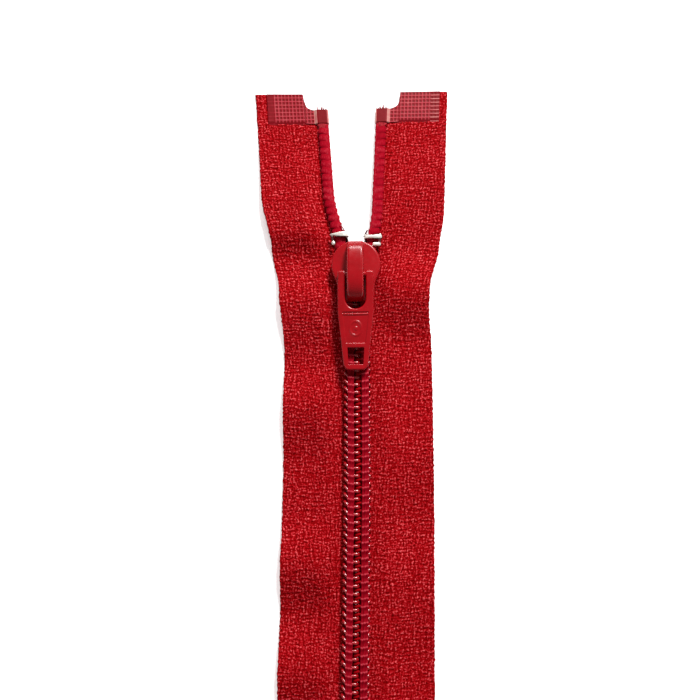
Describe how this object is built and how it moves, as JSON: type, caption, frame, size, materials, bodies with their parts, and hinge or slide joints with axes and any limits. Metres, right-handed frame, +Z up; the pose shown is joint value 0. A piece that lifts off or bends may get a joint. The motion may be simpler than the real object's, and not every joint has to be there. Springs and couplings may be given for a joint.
{
  "type": "separating coil zipper",
  "caption": "Closed separating coil zipper lying face up: woven tapes, interlocked nylon coils, metal slider with hinged pull tab, stops, pins and retainer box.",
  "frame": {"origin": "centre of the bounding box's footprint, on the surface that the zipper lies on", "axes": "+Y along the chain from the retainer box to the open tape tops, +Z up out of the face with the slider's crown, +X to the right seen from above"},
  "size_m": [0.0404, 0.182, 0.0082],
  "materials": {
    "tape_fabric": "dyed red polyester tape, crepe-like knitted surface, matt",
    "coil_nylon": "dyed red monofilament, satin gloss",
    "cord_fibre": "braided filler cord, matt",
    "stitching_thread": "twisted polyester sewing thread",
    "end_film": "thin welded film with a fine square grid, satin gloss",
    "red_paint": "smooth red enamel on die-cast metal, semi-gloss",
    "silver_metal": "bright nickel-like metal",
    "spring_steel": "plain spring steel"
  },
  "bodies": {
    "chain": {"left_tape": "tape_fabric", "right_tape": "tape_fabric", "left_coil": "coil_nylon", "right_coil": "coil_nylon", "left_core_cord": "cord_fibre", "right_core_cord": "cord_fibre", "left_stitching": "stitching_thread", "right_stitching": "stitching_thread", "left_bottom_film": "end_film", "right_bottom_film": "end_film", "insertion_pin": "silver_metal", "box_pin": "silver_metal", "retainer_box": "silver_metal"},
    "slider": {"slider_body": "red_paint", "crown_cap": "red_paint"},
    "pull": {"pull_tab": "red_paint"},
    "lock": {"lock_spring": "spring_steel"},
    "left_tape_end": {"left_top_stop": "silver_metal", "left_top_film": "end_film"},
    "right_tape_end": {"right_top_stop": "silver_metal", "right_top_film": "end_film"}
  },
  "joints": [
    {"name": "slider_slide", "type": "slide", "parent": "chain", "child": "slider", "axis": [0, -1, 0], "range_m": [0, 0.1276], "deforming": ["left_tape", "left_coil", "left_core_cord", "left_stitching", "right_tape", "right_coil", "right_core_cord", "right_stitching"]},
    {"name": "pull_tab_hinge", "type": "hinge", "parent": "slider", "child": "pull", "pos_m": [0.00137, 0.0496, 0.00585], "axis": [-1, 0, 0], "range_deg": [0, 160]},
    {"name": "lock_lift", "type": "slide", "parent": "slider", "child": "lock", "axis": [0, 0, 1], "range_m": [0, 0.0005]},
    {"name": "left_tape_swing", "type": "hinge", "parent": "chain", "child": "left_tape_end", "pos_m": [0.00137, -0.0764, 0.00125], "axis": [0, 0, 1], "range_deg": [0, 10], "deforming": ["left_tape", "left_coil", "left_core_cord", "left_stitching"]},
    {"name": "right_tape_swing", "type": "hinge", "parent": "chain", "child": "right_tape_end", "pos_m": [0.00137, -0.0764, 0.00125], "axis": [0, 0, -1], "range_deg": [0, 10], "deforming": ["right_tape", "right_coil", "right_core_cord", "right_stitching"]}
  ],
  "couplings": [
    {"joint": "lock_lift", "follows": "pull_tab_hinge", "m_per_rad": 0.00017869},
    {"joint": "left_tape_swing", "follows": "slider_slide", "rad_per_m": 1.3664},
    {"joint": "right_tape_swing", "follows": "slider_slide", "rad_per_m": 1.3664}
  ]
}
